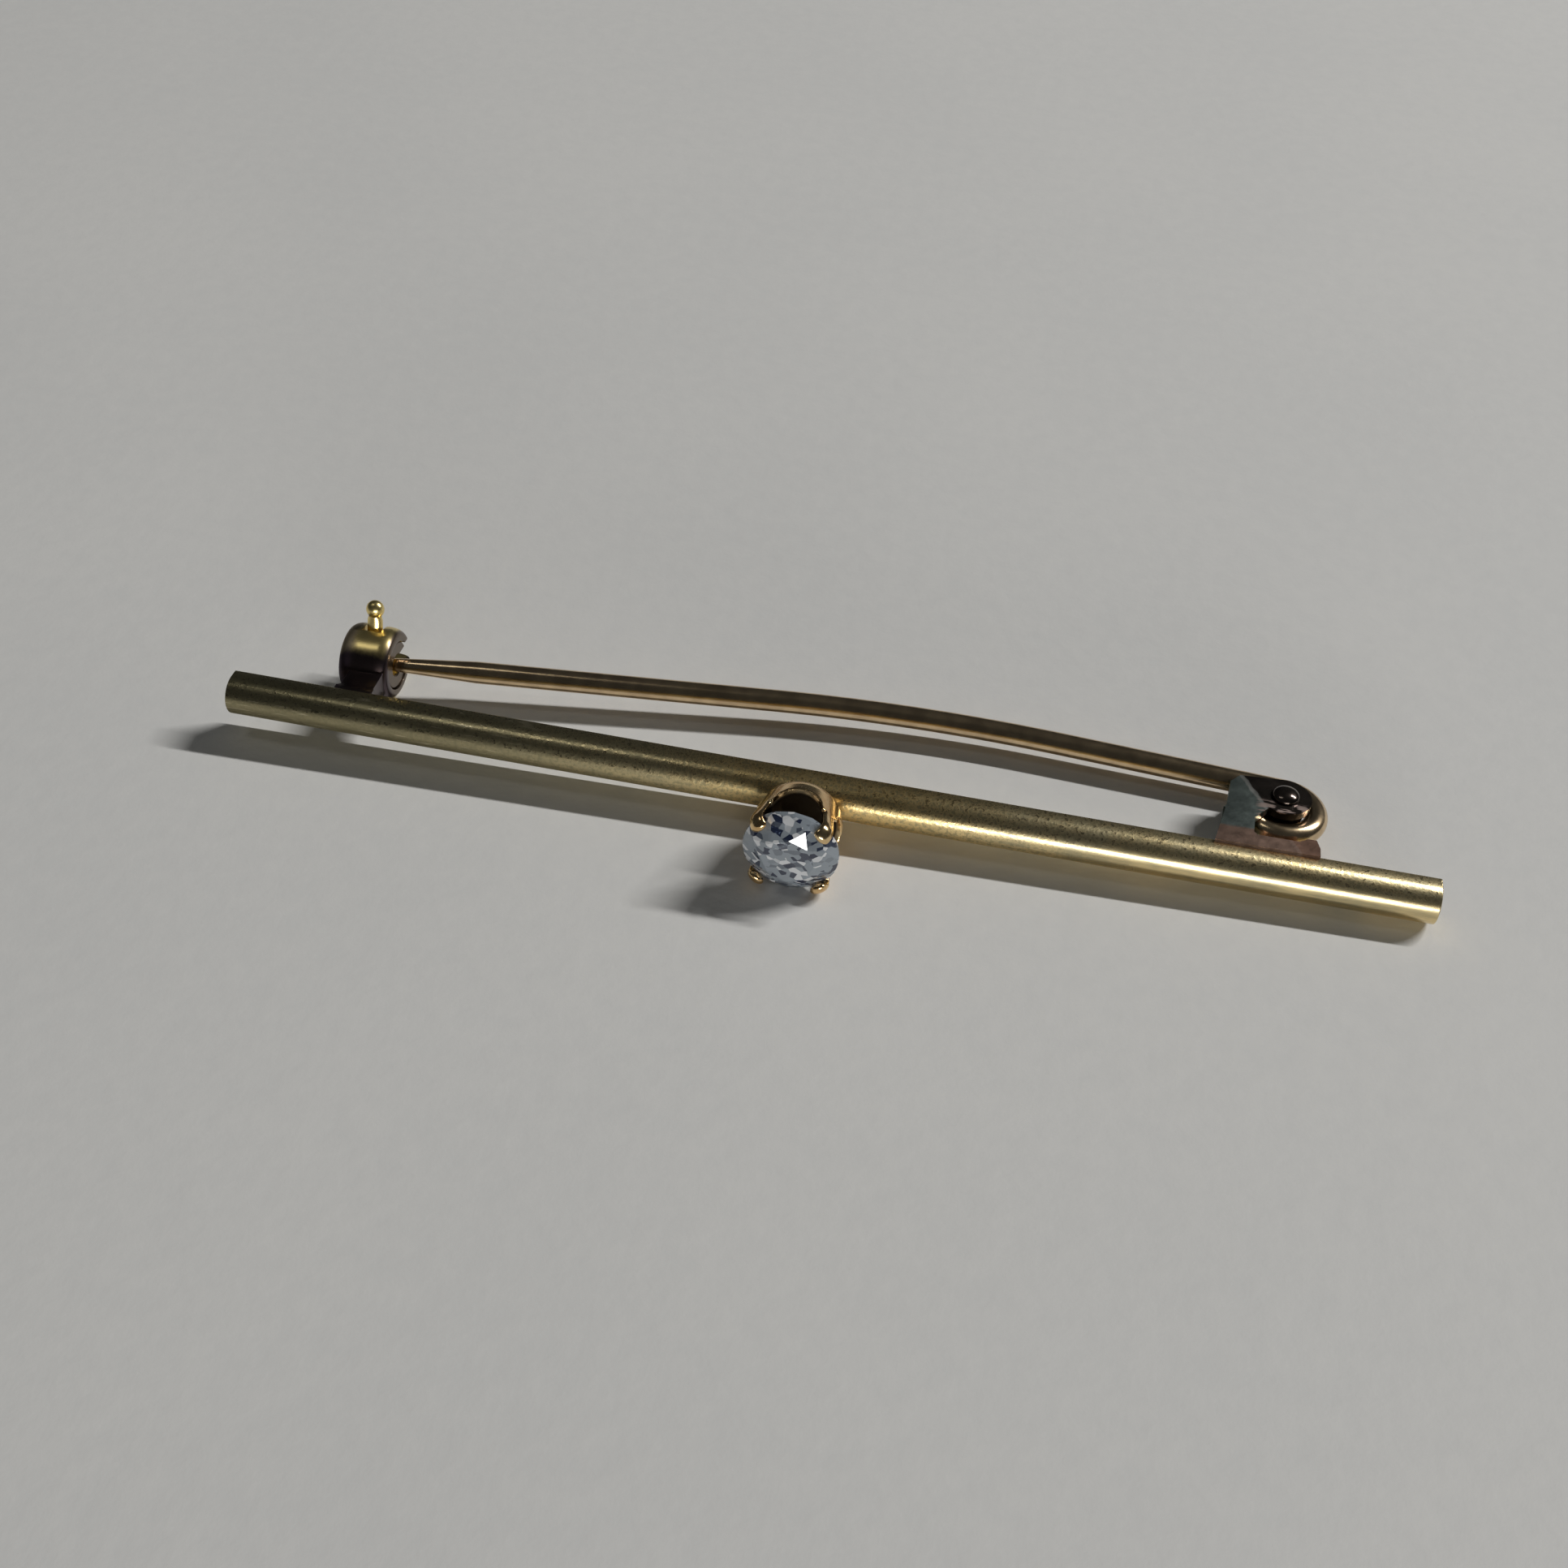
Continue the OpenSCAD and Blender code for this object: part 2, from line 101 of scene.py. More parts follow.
class Shading:
    def __init__(self, name, **fixed):
        self.material = bpy.data.materials.new(name)
        self.material.use_nodes = True
        self.nodes = self.material.node_tree
        self.shader = self.nodes.nodes["Principled BSDF"]
        for key, value in fixed.items():
            self.shader.inputs[key.replace("_", " ")].default_value = value

    def add(self, kind, settings=None, inputs=None, output=0):
        node = self.nodes.nodes.new(kind)
        for key, value in (settings or {}).items():
            setattr(node, key, value)
        for key, value in (inputs or {}).items():
            if isinstance(value, Socket):
                self.nodes.links.new(value.end, node.inputs[key])
            else:
                node.inputs[key].default_value = value
        return Socket(self, node.outputs[output])

    def feed(self, key, value):
        self.nodes.links.new(value.end, self.shader.inputs[key])

    # Object coordinates taken back to the brooch's own frame, in mm, then turned and stretched.
    def coords(self, stretch=(1, 1, 1), turn=(0, 0, 0)):
        shift, rotation, size = unplace.decompose()
        point = self.add("ShaderNodeTexCoord", output="Object")
        mm = self.add("ShaderNodeMapping", inputs={
            "Vector": point, "Location": shift, "Rotation": rotation.to_euler(), "Scale": size})
        if stretch == (1, 1, 1) and turn == (0, 0, 0):
            return mm
        angles = [radians(angle) for angle in turn]
        return self.add("ShaderNodeMapping", inputs={
            "Vector": mm, "Rotation": angles, "Scale": stretch})

    def parts(self, coords):
        return [self.add("ShaderNodeSeparateXYZ", inputs={0: coords}, output=i) for i in range(3)]

    def noise(self, coords, size, detail=2.0, rough=0.5):
        return self.add("ShaderNodeTexNoise", {"noise_dimensions": "3D"}, {
            "Vector": coords, "Scale": 1 / size, "Detail": detail, "Roughness": rough})

    # 0 at the first value, 1 at the second, smooth between them and level outside.
    def fade(self, value, start, end):
        return self.add("ShaderNodeMapRange", {"interpolation_type": "SMOOTHSTEP"}, {
            "Value": value, "From Min": start, "From Max": end})

    def blend(self, share, first, second):
        first, second = [
            shade if isinstance(shade, Socket) else (*shade, 1) for shade in (first, second)]
        return self.add("ShaderNodeMix", {"data_type": "RGBA"}, {0: share, 6: first, 7: second}, 2)

    def relief(self, height, depth):
        bump = self.add("ShaderNodeBump", inputs={"Height": height, "Distance": depth})
        self.feed("Normal", bump)


def satinGold():
    satin = {
        "gold": (0.84, 0.67, 0.36), "rich": (0.83, 0.58, 0.22), "dull": (0.50, 0.43, 0.26),
        "olive": (0.30, 0.27, 0.16), "scratch": (0.90, 0.80, 0.55), "grain": 0.17, "cloud": 2.4,
        "rough": 0.36, "lowRough": 0.54, "worn": 0.26, "depth": 0.000009,
        "shadedLeftEnd": (2, -22), "polishFrom": (7, 15), "polishBelow": (0.68, 0.5),
        "richFrom": (-7, -2), "richTo": (9, 3), "lowSide": (0.25, -0.25), "wornShare": (0.36, 0.62),
        "pits": (0.54, 0.38), "speckShare": (0.5, 0.72), "scratchShare": (0.62, 0.7),
        "scratchFrom": (-8, -16),
    }
    s = Shading("satin gold", Metallic=1.0)
    here = s.coords()
    x, y, z = s.parts(here)
    grain = s.noise(here, satin["grain"], 3, 0.6)
    clouds = s.noise(here, satin["cloud"], 3, 0.6)
    brushed = s.noise(s.coords((0.5, 1, 5), (0, 24, 0)), 0.8, 4, 0.65)
    strokes = s.noise(s.coords((0.35, 1, 9), (0, 35, 0)), 0.5, 2, 0.5)
    scratches = s.fade(strokes, *satin["scratchShare"])
    # The bar's left end is painted darker and olive: painted shade from the dim room it reflects.
    left = s.fade(x, *satin["shadedLeftEnd"])
    polish = s.fade(x, *satin["polishFrom"]) * s.fade(z, *satin["polishBelow"])
    # A richer gold round the stone is a painted warm reflection.
    sheenNearStone = s.fade(x, *satin["richFrom"]) * s.fade(x, *satin["richTo"])
    worn = s.fade(clouds * 0.5 + brushed * 0.5, *satin["wornShare"])
    speck = s.fade(grain, *satin["speckShare"])
    pits = s.fade(grain, *satin["pits"])
    colour = s.blend(worn * (1 - left * 0.7), satin["dull"], satin["gold"])
    colour = s.blend(sheenNearStone * 0.6, colour, satin["rich"])
    colour = s.blend(left * 0.75, colour, satin["olive"])
    colour = s.blend(pits * 0.65 * (1 - polish), colour, satin["olive"])
    scratched = scratches * s.fade(x, *satin["scratchFrom"])
    colour = s.blend(scratched * 0.5, colour, satin["scratch"])
    s.feed("Base Color", colour)
    lower = s.fade(z, *satin["lowSide"])
    dullRough = satin["rough"] + lower * (satin["lowRough"] - satin["rough"])
    dullRough = dullRough - worn * 0.06 - speck * 0.14
    s.feed("Roughness", dullRough * (1 - polish) + polish * satin["worn"])
    s.relief(grain * (1 - polish * 0.85) + brushed * 0.4, satin["depth"])
    return s.material


def polishedGold(name, gold, dull, rough):
    s = Shading(name, Metallic=1.0)
    here = s.coords()
    clouds = s.noise(here, 0.8, 3, 0.55)
    fine = s.noise(here, 0.12, 2, 0.5)
    s.feed("Base Color", s.blend(s.fade(clouds, 0.35, 0.65), dull, gold))
    s.feed("Roughness", rough + clouds * 0.06 + fine * 0.05)
    s.relief(clouds * 0.6 + fine * 0.4, 0.000003)
    return s.material


claw = {
    "foot": 0.72, "low": 1.5, "outer": 2.3, "round": 0.75, "wall": 0.36, "floor": 0.35, "sunk": 0.5,
    "cove": 0.3, "coveIn": 0.25, "heights": (1.95, 2.4, 2.8, 3.2, 3.6, 3.95, 4.25),
    "windowFrom": 1.2, "windowRise": 0.9, "sideWindow": 1.12, "topWindow": 1.0, "angle": 48,
    "width": 0.62, "depth": 0.26, "tipWidth": 0.78, "tipDepth": 0.4, "tipLength": 0.24,
    "tipTurns": (20, 40, 58, 74, 86), "voxel": 0.045,
    "curl": ((2.17, 4.45), (2.13, 4.58), (2.05, 4.69), (1.94, 4.77)),
}
girdleOut = 4.31


# Radius of the setting's flared side at a height from the bar's back, for numbers and for sockets.
def flareReach(height):
    grow = (claw["outer"] - claw["low"]) / (girdleOut - bar["thick"])
    return height * grow + (claw["low"] - bar["thick"] * grow)


# The setting's gold is bright outside and painted dark inside the bowl, as painted shade.
def settingGold():
    tone = {
        "gold": (0.88, 0.66, 0.36), "dull": (0.72, 0.47, 0.22), "dark": (0.05, 0.035, 0.025),
        "wall": (0.16, 0.3), "rim": (-4.25, -4.0), "cloud": 0.7, "depth": 0.000004,
    }
    s = Shading("setting gold", Metallic=1.0)
    here = s.coords()
    x, y, z = s.parts(here)
    up = z - line
    reach = (x * x + up * up) ** 0.5
    # Painted shade inside the bowl, below the stone's rim.
    inside = s.fade(flareReach(0 - y) - reach, *tone["wall"]) * s.fade(y, *tone["rim"])
    clouds = s.noise(here, tone["cloud"], 3, 0.6)
    colour = s.blend(s.fade(clouds, 0.35, 0.65), tone["dull"], tone["gold"])
    s.feed("Base Color", s.blend(inside * 0.92, colour, tone["dark"]))
    s.feed("Roughness", 0.13 + clouds * 0.08 + inside * 0.3)
    s.relief(clouds, tone["depth"])
    return s.material


# The stone's many small reflections from within are painted into its colour as patches of dark,
# grey-blue and white.
def clearStone():
    inner = {
        "size": 0.3, "stretch": (1, 1, 1.4), "turn": (20, 0, 35), "dark": (0.02, 0.03, 0.07),
        "grey": (0.36, 0.41, 0.46), "white": (0.95, 0.97, 1.0), "greyShare": (0.08, 0.45),
        "whiteShare": (0.8, 0.86),
    }
    s = Shading("clear stone", Transmission_Weight=0.3, IOR=1.85)
    patch = s.add("ShaderNodeTexVoronoi", {"voronoi_dimensions": "3D", "feature": "F1"}, {
        "Vector": s.coords(inner["stretch"], inner["turn"]), "Scale": 1 / inner["size"]}, 1)
    chance = s.parts(patch)[0]
    colour = s.blend(s.fade(chance, *inner["greyShare"]), inner["dark"], inner["grey"])
    s.feed("Base Color", s.blend(s.fade(chance, *inner["whiteShare"]), colour, inner["white"]))
    s.feed("Roughness", chance * 0.08 + 0.02)
    return s.material


catch = {
    "x": -20.82, "y": 3.08, "radius": 1.65, "length": 2.25, "wall": 0.52, "end": 0.35, "gap": 1.15,
    "leftLong": 0.45, "leftHigh": 0.3, "rightLong": 0.6, "rightHigh": 0.3, "roundSteps": 10,
    "neck": 1.1, "neckLeft": 0.62, "neckRight": 0.12, "spread": 0.11, "foot": 0.3, "edge": 0.05,
    "edgeSteps": 3, "window": 0.85, "windowFrom": 77.7, "windowTo": 178.3,
}


# The catch is dull on its outer third, bright in the middle, and painted nearly black toward the
# bar and on its end face as painted shade.
def catchGold():
    tone = {
        "gold": (0.88, 0.70, 0.30), "grey": (0.24, 0.20, 0.17), "dark": (0.045, 0.03, 0.05),
        "end": (0.09, 0.07, 0.08), "cloud": 0.5, "depth": 0.000004,
    }
    s = Shading("catch gold", Metallic=1.0)
    here = s.coords()
    x, y, z = s.parts(here)
    clouds = s.noise(here, tone["cloud"], 3, 0.6)
    shadowed = s.fade(y + clouds * 0.3, catch["y"] - 0.7, catch["y"] - 1.05)
    shadedEndFace = s.fade(x, catch["x"] + 0.85, catch["x"] + 1.05)
    outer = s.fade(x + clouds * 0.4, catch["x"] - 0.1, catch["x"] - 0.5)
    colour = s.blend(outer * 0.85, tone["gold"], tone["grey"])
    colour = s.blend(shadowed * 0.95, colour, tone["dark"])
    s.feed("Base Color", s.blend(shadedEndFace * 0.9, colour, tone["end"]))
    s.feed("Roughness", 0.26 + clouds * 0.06 + outer * 0.2)
    s.relief(clouds, tone["depth"])
    return s.material


# The ear's colour is painted light: a grey-green painted reflection on the outer side of a painted
# highlight line, painted shade round the rivet with a few pink painted reflections, and a coppery
# painted reflection of the bar down at the bar.
def hingeGold():
    tone = {
        "greenReflection": (0.26, 0.31, 0.29), "dark": (0.05, 0.042, 0.036), "line": (0.62, 0.62, 0.58),
        "pinkReflection": (0.92, 0.72, 0.64), "copperReflection": (0.50, 0.30, 0.22), "cloud": 0.5, "depth": 0.000008,
        "lineX": -1.06, "lineY": -0.5, "stripes": (0.5, 0.56), "copperTop": (1.05, 0.85),
    }
    s = Shading("hinge gold with painted reflections", Metallic=1.0)
    here = s.coords()
    x, y, z = s.parts(here)
    clouds = s.noise(here, tone["cloud"], 3, 0.6)
    pastLine = (x - (hinge["x"] + tone["lineX"])) * 0.87 + (y - (hinge["y"] + tone["lineY"])) * 0.49
    pastLine = pastLine + clouds * 0.2 - 0.1
    # A painted highlight along the ear's fold.
    highlightLine = s.fade(pastLine, -0.13, -0.04) * s.fade(pastLine, 0.13, 0.04)
    streaks = s.noise(s.coords((0.5, 2.6, 1), (0, 0, 28)), 0.5, 2, 0.5)
    below = s.fade(y, hinge["y"] - 0.3, hinge["y"] - 0.6) * s.fade(y, 0.9, 1.3)
    # Pink painted reflections below the rivet.
    pinkReflection = below * s.fade(x, hinge["x"] - 1.3, hinge["x"] - 1) * s.fade(streaks, *tone["stripes"])
    # Grey-green painted reflection on the outer side, painted shade past the line.
    colour = s.blend(s.fade(pastLine, -0.05, 0.1), tone["greenReflection"], tone["dark"])
    colour = s.blend(highlightLine * 0.8, colour, tone["line"])
    colour = s.blend(pinkReflection * 0.85, colour, tone["pinkReflection"])
    # A coppery painted reflection of the bar, low on the ear.
    copperReflection = s.fade(y + clouds * 0.2, *tone["copperTop"])
    s.feed("Base Color", s.blend(copperReflection * 0.8, colour, tone["copperReflection"]))
    s.feed("Roughness", 0.24 + clouds * 0.2)
    s.relief(clouds, tone["depth"])
    return s.material


goldSatin = satinGold()
goldSetting = settingGold()
goldPin = polishedGold("drawn gold wire", (0.80, 0.61, 0.38), (0.64, 0.48, 0.30), 0.16)
goldHinge = hingeGold()
goldCatch = catchGold()
# The rivet's near-black colour is painted shade over its gold.
shadedRivetGold = polishedGold("rivet gold painted dark", (0.22, 0.18, 0.15), (0.10, 0.08, 0.07), 0.12)
stoneClear = clearStone()
print("materials ready")


def looseObject(bm, name):
    mesh = bpy.data.meshes.new(name)
    bm.to_mesh(mesh)
    bm.free()
    loose = bpy.data.objects.new(name, mesh)
    bpy.context.scene.collection.objects.link(loose)
    return loose


# Runs joins, cuts and finishing modifiers on a shape and gives back the result as one bmesh.
def shaped(bm, tools=(), finish=()):
    work = looseObject(bm, "work")
    spare = [work]
    for operation, tool in tools:
        bmesh.ops.recalc_face_normals(tool, faces=tool.faces)
        spare.append(looseObject(tool, "tool"))
        step = work.modifiers.new("step", "BOOLEAN")
        step.operation = operation
        step.solver = "EXACT"
        step.object = spare[-1]
    for kind, settings in finish:
        step = work.modifiers.new("step", kind)
        for key, value in settings.items():
            setattr(step, key, value)
    result = bmesh.new()
    result.from_object(work, bpy.context.evaluated_depsgraph_get())
    for thing in spare:
        mesh = thing.data
        bpy.data.objects.remove(thing)
        bpy.data.meshes.remove(mesh)
    return result


def finished(bm, name, material, body, node, sharp=35):
    bmesh.ops.recalc_face_normals(bm, faces=bm.faces)
    bm.transform(place)
    mesh = bpy.data.meshes.new(name)
    bm.to_mesh(mesh)
    bm.free()
    mesh.shade_smooth()
    if sharp is not None:
        mesh.set_sharp_from_angle(angle=radians(sharp))
    piece = bpy.data.objects.new(name, mesh)
    bpy.context.scene.collection.objects.link(piece)
    mesh.materials.append(material)
    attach(piece, body)
    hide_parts(node)
    print(name, "made,", len(mesh.polygons), "faces")
    return piece


def box(low, high):
    size = [b - a for a, b in zip(low, high)]
    middle = [(a + b) / 2 for a, b in zip(low, high)]
    bm = bmesh.new()
    bmesh.ops.create_cube(bm, size=1, matrix=Matrix.LocRotScale(Vector(middle), None, Vector(size)))
    return bm


def rod(centre, radius, depth, segments, turn=None):
    bm = bmesh.new()
    where = Matrix.Translation(centre) @ (turn or Matrix.Identity(4))
    bmesh.ops.create_cone(
        bm, cap_ends=True, segments=segments, radius1=radius, radius2=radius, depth=depth,
        matrix=where)
    return bm


# Turns a profile of (radius, height) pairs round an axis; its poles close by themselves.
def lathe(profile, centre, axis, spoke, steps):
    bm = bmesh.new()
    centre, axis, spoke = Vector(centre), Vector(axis), Vector(spoke)
    verts = [bm.verts.new(centre + spoke * r + axis * h) for r, h in profile]
    edges = [bm.edges.new(pair) for pair in zip(verts, verts[1:])]
    bmesh.ops.spin(
        bm, geom=verts + edges, cent=centre, axis=axis, angle=2 * pi, steps=steps, use_merge=True)
    bmesh.ops.remove_doubles(bm, verts=bm.verts, dist=1e-5)
    bmesh.ops.recalc_face_normals(bm, faces=bm.faces)
    return bm


# One place on a swept run: its middle, its way, the way of its width, and its width and depth.
def station(middle, way, side, width, depth):
    way, side = Vector(way).normalized(), Vector(side).normalized()
    at = Matrix((side * width / 2, way.cross(side) * depth / 2, way)).transposed().to_4x4()
    at.translation = Vector(middle)
    return at


def newParts(made, kind):
    return [part for part in made["geom"] if isinstance(part, kind)]


def sweep(bm, stations, segments=24):
    ring = bmesh.ops.create_circle(
        bm, segments=segments, radius=1, cap_ends=False, matrix=stations[0])["verts"]
    edges = list({edge for vert in ring for edge in vert.link_edges})
    bmesh.ops.edgeloop_fill(bm, edges=edges)
    for before, after in zip(stations, stations[1:]):
        made = bmesh.ops.extrude_edge_only(bm, edges=edges)
        edges = [edge for edge in newParts(made, bmesh.types.BMEdge) if edge.is_boundary]
        verts = newParts(made, bmesh.types.BMVert)
        bmesh.ops.transform(bm, matrix=after @ before.inverted(), verts=verts)
    bmesh.ops.edgeloop_fill(bm, edges=edges)
    return bm


def slab(outline, low, high):
    bm = bmesh.new()
    face = bm.faces.new([bm.verts.new((x, y, low)) for x, y in outline])
    made = bmesh.ops.extrude_face_region(bm, geom=[face])
    bmesh.ops.translate(bm, vec=(0, 0, high - low), verts=newParts(made, bmesh.types.BMVert))
    bmesh.ops.recalc_face_normals(bm, faces=bm.faces)
    return bm


def rounded(bm, edges, offset, segments):
    bmesh.ops.bevel(
        bm, geom=edges, offset=offset, segments=segments, profile=0.5, affect="EDGES", material=-1,
        clamp_overlap=True)


# A half-round rod: a round one cut at its middle, with the cut face drawn out to the flat sides.
def makeBar():
    half, end = bar["width"] / 2, bar["length"] / 2
    lengthways = Matrix.Rotation(pi / 2, 4, "Y")
    bm = rod((0, -bar["side"], 0), half, bar["length"], bar["steps"], lengthways)
    cut = bmesh.ops.bisect_plane(
        bm, geom=[*bm.verts, *bm.edges, *bm.faces], dist=1e-4, plane_co=(0, -bar["side"], 0),
        plane_no=(0, 1, 0), clear_outer=True)
    rim = [part for part in cut["geom_cut"] if isinstance(part, bmesh.types.BMEdge)]
    back = bmesh.ops.edgeloop_fill(bm, edges=rim)["faces"]
    made = bmesh.ops.extrude_face_region(bm, geom=back)
    bmesh.ops.translate(bm, vec=(0, bar["side"], 0), verts=newParts(made, bmesh.types.BMVert))
    backEdges = [
        edge for edge in bm.edges
        if min(vert.co.y for vert in edge.verts) > -0.01 and edge.calc_length() > bar["width"] + 1]
    rounded(bm, backEdges, bar["edge"], bar["edgeSteps"])
    for side, size in ((-1, bar["leftRim"]), (1, bar["rightRim"])):
        rimEdges = [
            edge for edge in bm.edges
            if min(side * vert.co.x for vert in edge.verts) > end - 0.001
            and edge.calc_face_angle(0) > 1]
        rounded(bm, rimEdges, size, bar["rimSteps"])
    return finished(bm, "bar", goldSatin, "brooch", "brooch_body", sharp=50)


makeBar()

stone = {
    "radius": 2, "girdle": 0.2, "table": 1.12, "crown": 0.62, "pavilion": 1.72, "star": 0.55,
    "lower": 0.78, "lowerReach": 0.22, "blankSides": 96, "blankDepth": 6,
}


# A brilliant cut as a cutter makes it: a round blank, then one flat ground after another.
def makeStone():
    radius, top = stone["radius"], stone["girdle"] / 2
    bm = rod((0, 0, 0), radius, stone["blankDepth"], stone["blankSides"])

    def grind(azimuth, reach, height, slope, upward):
        normal = Vector((sin(slope) * cos(azimuth), sin(slope) * sin(azimuth), cos(slope) * upward))
        foot = Vector((reach * cos(azimuth), reach * sin(azimuth), height))
        cut = bmesh.ops.bisect_plane(
            bm, geom=[*bm.verts, *bm.edges, *bm.faces], dist=1e-5, plane_co=foot, plane_no=normal,
            clear_outer=True)
        rim = [part for part in cut["geom_cut"] if isinstance(part, bmesh.types.BMEdge)]
        if rim:
            bmesh.ops.edgeloop_fill(bm, edges=rim)

    half = radians(22.5)
    side = radius * cos(half / 2)
    tableRim = stone["table"] * cos(half)
    starHigh = stone["star"] * stone["crown"]
    starReach = (radius - (radius - stone["table"]) * stone["star"]) / cos(half)
    lowDeep = stone["lower"] * stone["pavilion"]
    lowReach = radius * stone["lowerReach"] / cos(half)
    starSlope = atan((stone["crown"] - starHigh) / (starReach - tableRim))
    grind(0, 0, top + stone["crown"], 0, 1)
    for i in range(8):
        grind(2 * half * i, radius, top, atan(stone["crown"] / (radius - stone["table"])), 1)
        grind(2 * half * i, radius, -top, atan(stone["pavilion"] / radius), -1)
    for i in range(8):
        grind(half * (2 * i + 1), tableRim, top + stone["crown"], starSlope, 1)
    for i in range(16):
        grind(half * (i + 0.5), side, top, atan(starHigh / (side - starReach * cos(half / 2))), 1)
        grind(half * (i + 0.5), side, -top, atan(lowDeep / (side - lowReach * cos(half / 2))), -1)
    bmesh.ops.remove_doubles(bm, verts=bm.verts, dist=1e-4)
    bm.transform(Matrix.Translation((0, -girdleOut, line)) @ Matrix.Rotation(pi / 2, 4, "X"))
    return finished(bm, "cut_stone", stoneClear, "brooch", "stone", sharp=1)


makeStone()


# A lathed bowl with four openings; four claws run up its side and curl in over the stone.
def makeSetting():
    thick, low, rise = bar["thick"], bar["thick"] + claw["windowFrom"], claw["windowRise"]
    floor, rim = thick + claw["floor"], low + rise
    profile = [(0, thick - claw["sunk"]), (claw["foot"], thick - claw["sunk"])]
    for turn in range(0, 91, 10):
        height = thick + claw["round"] * (1 - cos(radians(turn)))
        profile.append((flareReach(height) - claw["round"] * (1 - sin(radians(turn))), height))
    profile += [(flareReach(rim), rim), (flareReach(rim) - claw["wall"], rim)]
    profile.append((flareReach(floor + claw["cove"]) - claw["wall"], floor + claw["cove"]))
    profile += [(flareReach(floor) - claw["wall"] - claw["coveIn"], floor), (0, floor)]
    cup = lathe(profile, (0, 0, line), (0, -1, 0), (1, 0, 0), 96)
    middle = Vector((0, -low - rise, line))
    across = Matrix.Rotation(pi / 2, 4, "Y") @ Matrix.Diagonal((claw["sideWindow"], rise, 1, 1))
    upward = Matrix.Diagonal((claw["topWindow"], rise, 1, 1))
    windows = [("DIFFERENCE", rod(middle, 1, 8, 64, way)) for way in (across, upward)]
    work = shaped(cup, windows)
    path = [(flareReach(height) - claw["depth"] / 2, height) for height in claw["heights"]]
    straight = len(path) - 1
    path += claw["curl"]
    ways = [Vector((b[0] - a[0], b[1] - a[1])).normalized() for a, b in zip(path, path[1:])]
    ways = [ways[0]] + [(a + b).normalized() for a, b in zip(ways, ways[1:])] + [ways[-1]]
    for sx, sz in ((-1, -1), (-1, 1), (1, -1), (1, 1)):
        angle = radians(claw["angle"])
        outward = Vector((sx * cos(angle), 0, sz * sin(angle)))
        side = outward.cross(Vector((0, -1, 0)))

        def clawAt(reach, height, way, width, depth):
            middle = outward * reach + Vector((0, -height, line))
            return station(middle, outward * way.x + Vector((0, -way.y, 0)), side, width, depth)

        stations = []
        for i, ((reach, height), way) in enumerate(zip(path, ways)):
            grow = max(0, i - straight) / len(claw["curl"])
            width = claw["width"] + (claw["tipWidth"] - claw["width"]) * grow
            depth = claw["depth"] + (claw["tipDepth"] - claw["depth"]) * grow
            stations.append(clawAt(reach, height, way, width, depth))
        for turn in claw["tipTurns"]:
            end = Vector(path[-1]) + ways[-1] * claw["tipLength"] * sin(radians(turn))
            shrink = cos(radians(turn))
            width, depth = claw["tipWidth"] * shrink, claw["tipDepth"] * shrink
            stations.append(clawAt(*end, ways[-1], width, depth))
        sweep(work, stations)
    bmesh.ops.recalc_face_normals(work, faces=work.faces)
    work = shaped(work, finish=[
        ("REMESH", {"mode": "VOXEL", "voxel_size": claw["voxel"]}),
        ("SMOOTH", {"factor": 0.6, "iterations": 5}),
    ])
    return finished(
        work, "claw_setting", goldSetting, "brooch", "brooch_body", sharp=None)


makeSetting()


# A cutter as wide as the way that the pin takes into the catch from behind.
def slit(wide):
    reach, side = 3, wide / 2
    return box(
        (catch["x"] - reach, catch["y"], line - side),
        (catch["x"] + reach, catch["y"] + reach, line + side))


